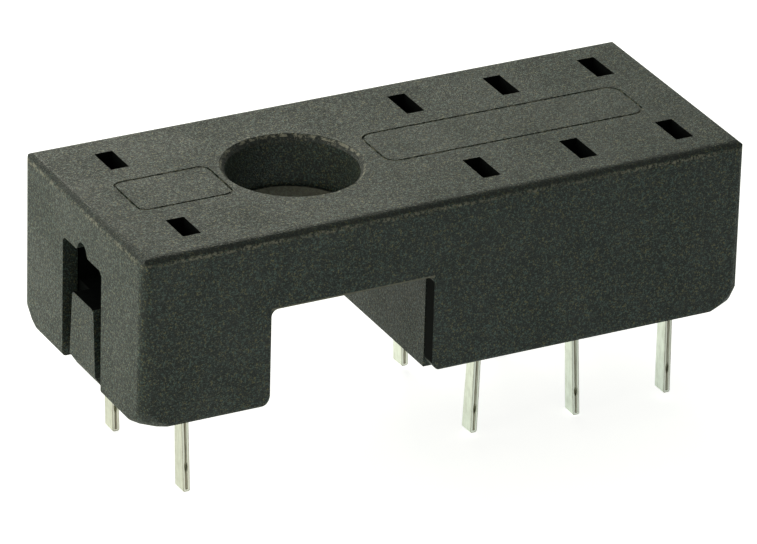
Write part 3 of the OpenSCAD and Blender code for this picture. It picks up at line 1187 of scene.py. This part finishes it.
@dataclass(frozen=True)
class Contact:
    """One contact: a strip folded at the tip of its tail and opened into a fork.

    Attributes:
        node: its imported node.
        x: its place along the socket.
        row: its row.
        lean: the bend of its tail towards +X and +Y, in degrees.
        short: how much shorter it reaches than the longest tail.
        twist: turn of its tail about Z at the base and at the tip, in degrees.
        sizes: the sizes shared by all.
    """

    node: str
    x: float
    row: Row
    lean: tuple[float, float]
    short: float
    twist: tuple[float, float] = (0.0, 0.0)
    sizes: StripSizes = StripSizes()

    ROW_Y: ClassVar[float] = 3.75 * MM
    # Steps along the fold's half, the tail and, in millimetres, the fork
    FOLD_POINTS: ClassVar[int] = 7
    TAIL_STEP: ClassVar[float] = 0.08 * MM
    FORK_STEP: ClassVar[float] = 0.07
    # Middle line of a leaf: height over the floor, and distance from the contact's middle
    FORK: ClassVar[np.ndarray] = np.array(
        [
            (-0.3, 0.0975), (0.0, 0.0975), (0.1, 0.11), (0.25, 0.2), (0.75, 0.56), (1.0, 0.69),
            (1.3, 0.72), (1.9, 0.715), (2.4, 0.68), (3.0, 0.545), (4.1, 0.27), (4.3, 0.235),
            (4.5, 0.245), (4.7, 0.305), (5.45, 0.62),
        ]
    ) * MM

    def half_width(self, z: np.ndarray) -> np.ndarray:
        """Gives half the strip's width at given heights.

        It is narrow in the tail, wide from the floor up, with a barb that fades out and
        a taper towards the mouth.

        Args:
            z: heights.

        Returns:
            Half widths.
        """
        s = self.sizes
        up = z - s.floor
        wide = np.full_like(z, s.leaf_width / 2)
        fade = np.clip(1 - (up - s.shoulder) / s.barb[1], 0, 1)
        wide += np.where(up > s.shoulder, s.barb[0] * fade, 0.0)
        past_mouth = self.FORK[-1, 0] + 0.15 * MM
        wide -= s.taper[0] * np.clip((up - past_mouth + s.taper[1]) / s.taper[1], 0, 1)
        return np.where(up <= 0, s.tail_width / 2, wide)

    def half_stations(self) -> tuple[np.ndarray, np.ndarray]:
        """Gives the inner and outer lines of the right-hand leaf, from its tip to its mouth.

        The tip has a quarter round outside and is flat inside. The tail's inner line is
        gap / 2, and bows out by w (1 - (height / h)^2) at the eye. The fork's lines are
        its smoothed middle line plus and minus half the thickness along the normal.

        Returns:
            Two arrays of X and Z, both of shape (n, 2).
        """
        s = self.sizes
        half = s.gap / 2 + s.thickness
        tip = self.short
        angle = np.linspace(-math.pi / 2, 0, 6)
        corner = np.stack([np.cos(angle), np.sin(angle)], -1) * s.tip_radius
        corner += (half - s.tip_radius, tip + s.tip_radius)
        fold = np.linspace(0, s.gap / 2, self.FOLD_POINTS)
        inner_tip = np.stack([fold, np.full_like(fold, tip + s.thickness)], -1)
        outer_tip = np.vstack([[(0.0, tip)], corner])

        low, high = self.FORK[0, 0], self.FORK[-1, 0]
        tail = np.arange(tip + s.thickness + SLACK, s.floor + low, self.TAIL_STEP)
        eye_z, eye_h, eye_w = s.eye
        bow = eye_w * np.clip(1 - ((tail - tip - eye_z) / eye_h) ** 2, 0, None)
        inner_tail = np.stack([s.gap / 2 + bow, tail], -1)
        outer_tail = np.stack([np.full_like(tail, half), tail], -1)

        jumps = np.array([0.0, 1.0 * MICRON, s.shoulder, s.shoulder + 1.0 * MICRON])
        even = np.arange(low / MM, high / MM, self.FORK_STEP) * MM
        up = np.unique(np.concatenate([even, jumps, [high]]))
        line_x = np.interp(up, self.FORK[:, 0], self.FORK[:, 1])
        smooth = np.convolve(np.pad(line_x, 2, "edge"), np.ones(5) / 5, "valid")
        line = np.stack([np.where(up > 0, smooth, line_x), up + s.floor], -1)
        along = np.gradient(line, axis=0)
        along /= np.linalg.norm(along, axis=1, keepdims=True)
        outward = np.stack([along[:, 1], -along[:, 0]], -1) * s.thickness / 2
        inner = np.vstack([inner_tip, inner_tail, line - outward])
        outer = np.vstack([outer_tip, outer_tail, line + outward])
        return inner, outer

    def ring(self) -> tuple[np.ndarray, np.ndarray, np.ndarray]:
        """Gives the cross-section: a rectangle with small rounds on its corners.

        It runs up one cut side, round a corner, along the outer face, down the other side
        and back along the inner face.

        Returns:
            For each point: its place from the inner face (0) to the outer face (1), its
            place across the width (-1 to 1) and its "cut" value.
        """
        s = self.sizes
        r = s.edge_radius / s.thickness
        q = s.edge_radius / (s.tail_width / 2)
        turn = np.radians([0, 45, 90])
        side = np.array(
            [[r, 1, 1.1], [0.28, 1, 1.28], [0.5, 1, 1.5], [0.75, 1, 1.75], [1 - r, 1, 1.9]]
        )
        corner = np.stack(
            [1 - r + r * np.sin(turn[1:]), 1 - q + q * np.cos(turn[1:]), [0.5, 0.0]], -1
        )
        face = np.array([[1, v, 0.0] for v in (0.5, 0.0, -0.5)])
        upper = np.vstack([side, corner, face])
        mirrored = upper * (1, -1, 1)
        other_corner = np.stack([corner[:, 0], -corner[:, 1], corner[:, 2]], -1)[::-1]
        outer_half = np.vstack([upper, other_corner, mirrored[4::-1]])
        low_corner = np.stack([1 - corner[:, 0], -corner[:, 1], corner[:, 2]], -1)
        inner_face = np.array([[0, v, 0.0] for v in (-0.5, 0.0, 0.5)])
        high_corner = np.stack([1 - corner[:, 0], corner[:, 1], corner[:, 2]], -1)[::-1]
        points = np.vstack([outer_half, low_corner, inner_face, high_corner])
        return points[:, 0], points[:, 1], points[:, 2]

    def bent(self, points: np.ndarray) -> np.ndarray:
        """Twists and leans the tail below the bend, and moves the contact to its place.

        The twist goes from nothing at the bend to its first value at the base's underside,
        and evenly on to its second value at the tip. The lean is a shear.

        Args:
            points: shape (n, 3), about the contact's own axis.

        Returns:
            The moved points.
        """
        s = self.sizes
        x, y, z = points.T
        at_base, at_tip = self.twist
        angle = np.radians(np.interp(z, [self.short, s.base, s.bend], [at_tip, at_base, 0]))
        below = np.clip(s.bend - z, 0, None)
        lean_x, lean_y = (math.tan(math.radians(v)) for v in self.lean)
        turned_x = x * np.cos(angle) - y * np.sin(angle) + lean_x * below + self.x
        turned_y = x * np.sin(angle) + y * np.cos(angle) + lean_y * below
        return np.stack([turned_x, turned_y + self.row.value * self.ROW_Y, z], -1)

    def build(self, material: bpy.types.Material) -> bpy.types.Object:
        """Builds the strip as rings along its line, from one mouth round the fold to the other.

        Each point is inner + (outer - inner) * depth in X and Z, and half width * side in Y.

        Args:
            material: the tin plating.

        Returns:
            The piece.
        """
        inner, outer = self.half_stations()
        mirror = np.array([-1, 1])
        inner = np.vstack([inner[:0:-1] * mirror, inner])
        outer = np.vstack([outer[:0:-1] * mirror, outer])
        depth, side, cut = self.ring()
        wide = self.half_width((inner[:, 1] + outer[:, 1]) / 2)
        flat = inner[:, None, :] + (outer - inner)[:, None, :] * depth[None, :, None]
        points = np.stack([flat[..., 0], wide[:, None] * side[None, :], flat[..., 1]], -1)
        rows, columns = points.shape[:2]
        points = self.bent(points.reshape(-1, 3))
        ring = np.arange(rows - 1)[:, None] * columns
        here = np.arange(columns)[None, :]
        after = (here + 1) % columns
        ring_above = ring + columns
        quads = np.stack([ring + here, ring_above + here, ring_above + after, ring + after], -1)
        ends = [list(range(columns)), list(range((rows - 1) * columns, rows * columns))[::-1]]
        name = f"{self.node}_strip"
        mesh = bpy.data.meshes.new(name)
        mesh.from_pydata(points.tolist(), [], quads.reshape(-1, 4).tolist() + ends)
        attribute = mesh.attributes.new("cut", "FLOAT", "POINT")
        attribute.data.foreach_set("value", np.tile(cut, rows).astype(np.float32))
        mesh.polygons.foreach_set("use_smooth", np.ones(len(mesh.polygons), bool))
        mesh.materials.append(material)
        mesh.validate()
        piece = add_object(name, mesh)
        weighted_normals(piece)
        hand_in(piece, self.node)
        return piece


COIL_X = -12.1 * MM
SWITCH_X = (2.9 * MM, 7.9 * MM, 12.9 * MM)
CONTACTS = (
    Contact("coil_contact_front", COIL_X, Row.FRONT, (0.9, -1.9), 0.6 * MM, (-3.6, 1.4)),
    Contact("coil_contact_back", COIL_X, Row.BACK, (1.8, 0.0), 0.0),
    Contact("switch_contact_front_1", SWITCH_X[0], Row.FRONT, (-0.85, 1.7), 0.25 * MM, (-7.0, 2.3)),
    Contact("switch_contact_front_2", SWITCH_X[1], Row.FRONT, (3.4, 1.0), 0.05 * MM, (-5.8, -1.6)),
    Contact("switch_contact_front_3", SWITCH_X[2], Row.FRONT, (-1.0, -2.75), 0.4 * MM, (-3.9, 1.1)),
    Contact("switch_contact_back_1", SWITCH_X[0], Row.BACK, (2.0, 0.8), 0.2 * MM, (-1.2, 2.2)),
    Contact("switch_contact_back_2", SWITCH_X[1], Row.BACK, (1.0, 0.5), 0.2 * MM),
    Contact("switch_contact_back_3", SWITCH_X[2], Row.BACK, (-0.5, 0.0), 0.15 * MM),
)


# ---- studio


@dataclass(frozen=True)
class Lamp:
    """A square area lamp.

    Attributes:
        name: its name.
        place: where it stands.
        size: its side.
        strength: the radiance of its face, where 1 is white.
        colour: its colour.
    """

    name: str
    place: tuple[float, float, float]
    size: float
    strength: float
    colour: Colour = (1.0, 0.99, 0.84)

    def build(self) -> None:
        """Adds the lamp, facing the socket."""
        data = bpy.data.lights.new(self.name, "AREA")
        data.shape = "SQUARE"
        data.size = self.size
        data.energy = self.strength * math.pi * self.size * self.size
        data.color = self.colour
        lamp = bpy.data.objects.new(self.name, data)
        lamp.location = self.place
        lamp.rotation_mode = "QUATERNION"
        lamp.rotation_quaternion = (-Vector(self.place)).to_track_quat("-Z", "Y")
        bpy.context.scene.collection.objects.link(lamp)


@dataclass(frozen=True)
class Studio:
    """Pale floor, soft lamps, a white surround and the camera.

    Attributes:
        aim: the point the camera looks at.
        azimuth: camera's turn about Z from looking along +Y, in degrees.
        elevation: its height above the horizon, in degrees.
        roll: its tilt about the line of sight, in degrees.
        distance: from the point it looks at.
        lens: focal length for a sensor 36 mm wide, in millimetres.
        air: colour of the surround's light.
        by_height: strength of the surround against the direction's Z.
        by_side: strength against its X.
        by_depth: strength against its Y.
        left_glow: the floor's brightness in mirrored views, by the left end.
        rise: how that brightness starts again right of it.
        fall: how it fades to the right.
        left_tint: colour of the glow on the left.
        right_tint: colour of the glow on the right.
        half_floor: half the floor's side.
    """

    aim: tuple[float, float, float]
    azimuth: float = -27.87
    elevation: float = 26.32
    roll: float = 1.65
    distance: float = 0.31384
    lens: float = 327.2
    air: Colour = (0.95, 1.0, 0.87)
    by_height: Step = (0.3, 0.9, 1.0, 0.6)
    by_side: Step = (-0.6, 0.7, 1.0, 0.6)
    by_depth: Step = (-0.4, 0.8, 0.45, 1.1)
    left_glow: Step = (-26 * MM, -20 * MM, 0.92, 0.42)
    rise: Step = (-18 * MM, -6 * MM, 0.55, 1.0)
    fall: Step = (5 * MM, 36 * MM, 0.78, 0.2)
    left_tint: Colour = (0.97, 1.0, 0.86)
    right_tint: Colour = (0.88, 1.0, 0.95)
    half_floor: float = 1.5

    LAMPS: ClassVar[tuple[Lamp, ...]] = (
        Lamp("key", (-0.3, -0.02, 0.14), 0.2, 2.5),
        Lamp("panel", (0.014, 0.085, 0.062), 0.055, 4.0),
    )

    def axes(self) -> tuple[Vector, Vector, Vector]:
        """Gives the camera's axes, roll included.

        Returns:
            Its right, up and backward directions.
        """
        turn, rise, tilt = (math.radians(v) for v in (self.azimuth, self.elevation, self.roll))
        back = Vector(
            (math.sin(turn) * math.cos(rise), -math.cos(turn) * math.cos(rise), math.sin(rise))
        )
        right = (-back).cross(Vector((0, 0, 1))).normalized()
        up = right.cross(-back)
        rolled_right = right * math.cos(tilt) + up * math.sin(tilt)
        rolled_up = up * math.cos(tilt) - right * math.sin(tilt)
        return rolled_right, rolled_up, back

    def camera(self) -> None:
        """Adds the camera and makes it the scene's."""
        right, up, back = self.axes()
        data = bpy.data.cameras.new("camera")
        data.lens = self.lens
        data.sensor_width = 36.0
        data.clip_start = 0.01
        data.clip_end = 10.0
        camera = bpy.data.objects.new("camera", data)
        turn = Matrix((right, up, back)).transposed().to_4x4()
        camera.matrix_world = Matrix.Translation(Vector(self.aim) + back * self.distance) @ turn
        bpy.context.scene.collection.objects.link(camera)
        bpy.context.scene.camera = camera

    def surround(self) -> None:
        """Makes the world: pale light all round, and plain white where the camera sees it.

        The light is the product of three soft steps: brighter behind than in front, on the
        left than on the right, and low down than overhead.
        """
        world = bpy.data.worlds.new("surround")
        bpy.context.scene.world = world
        world.use_nodes = True
        wiring = Wiring(world.node_tree)
        for node in list(world.node_tree.nodes):
            world.node_tree.nodes.remove(node)
        place = wiring.node("ShaderNodeTexCoord").outputs["Generated"]
        x, y, z = wiring.split(place)
        steps = zip((z, x, y), (self.by_height, self.by_side, self.by_depth))
        strength = wiring.times(*(wiring.ramp(value, *step) for value, step in steps))
        soft = wiring.node("ShaderNodeBackground")
        wiring.join(strength, soft.inputs["Strength"])
        soft.inputs["Color"].default_value = (*self.air, 1.0)
        white = wiring.node("ShaderNodeBackground")
        white.inputs["Strength"].default_value = 1.0
        rays = wiring.node("ShaderNodeLightPath")
        pick = wiring.node("ShaderNodeMixShader")
        wiring.join(rays.outputs["Is Camera Ray"], pick.inputs[0])
        wiring.join(soft.outputs[0], pick.inputs[1])
        wiring.join(white.outputs[0], pick.inputs[2])
        wiring.join(pick.outputs[0], wiring.node("ShaderNodeOutputWorld").inputs[0])

    def floor(self, level: float) -> None:
        """Adds the pale floor, which looks white and glows softly in mirrored views.

        The glow depends on X - 0.7 Y, the distance across the camera's line of sight: it is
        the larger of left_glow and rise * fall.

        Args:
            level: its height.
        """
        half = self.half_floor
        corners = [(x * half, y * half, level) for x, y in ((-1, -1), (1, -1), (1, 1), (-1, 1))]
        mesh = bpy.data.meshes.new("floor")
        mesh.from_pydata(corners, [], [(0, 1, 2, 3)])
        floor = add_object("floor", mesh)
        material, wiring, shader = new_material("floor_paint")
        shader.inputs["Base Color"].default_value = (0.65, 0.65, 0.65, 1.0)
        shader.inputs["Roughness"].default_value = 0.9
        rays = wiring.node("ShaderNodeLightPath")
        x, y, _ = wiring.split(object_place(wiring))
        across = wiring.math("SUBTRACT", x, wiring.times(y, 0.7))
        left = wiring.ramp(across, *self.left_glow)
        right = wiring.times(wiring.ramp(across, *self.rise), wiring.ramp(across, *self.fall))
        glow = wiring.math("MAXIMUM", left, right)
        over = wiring.ramp(across, -20 * MM, 20 * MM)
        tint = wiring.mix(over, self.left_tint, self.right_tint)
        tint = wiring.mix(rays.outputs["Is Camera Ray"], tint, (1.0, 1.0, 1.0))
        wiring.join(tint, shader.inputs["Emission Color"])
        seen = wiring.times(rays.outputs["Is Camera Ray"], 0.8)
        mirrored = wiring.times(rays.outputs["Is Glossy Ray"], glow)
        wiring.join(wiring.math("ADD", seen, mirrored), shader.inputs["Emission Strength"])
        mesh.materials.append(material)
        floor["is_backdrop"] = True

    def build(self, level: float) -> None:
        """Builds the whole studio.

        Args:
            level: the height of the floor.
        """
        bpy.context.scene.view_settings.view_transform = "Standard"
        self.camera()
        self.surround()
        self.floor(level)
        for lamp in self.LAMPS:
            lamp.build()
        LOG.info("studio: %d lamps", len(self.LAMPS))


def main() -> None:
    """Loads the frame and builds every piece."""
    logging.basicConfig(level=logging.INFO, format="%(name)s: %(message)s")
    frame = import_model()
    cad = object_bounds()
    nodes = frame["nodes"]
    low, high = cad
    Studio(aim=(-0.001315, -0.002016, high.z - 0.005224)).build(low.z)
    layout = Layout(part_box("base")[0].z, high.z)
    Housing("housing", Slot.HOUSING, MouldedPlastic("housing_plastic"), layout).build(nodes)
    Base("base", Slot.BASE, MouldedPlastic("base_plastic"), layout).build(nodes)
    tin = TinnedStrip().build()
    for contact in CONTACTS:
        contact.build(tin)


if __name__ == "__main__":
    main()
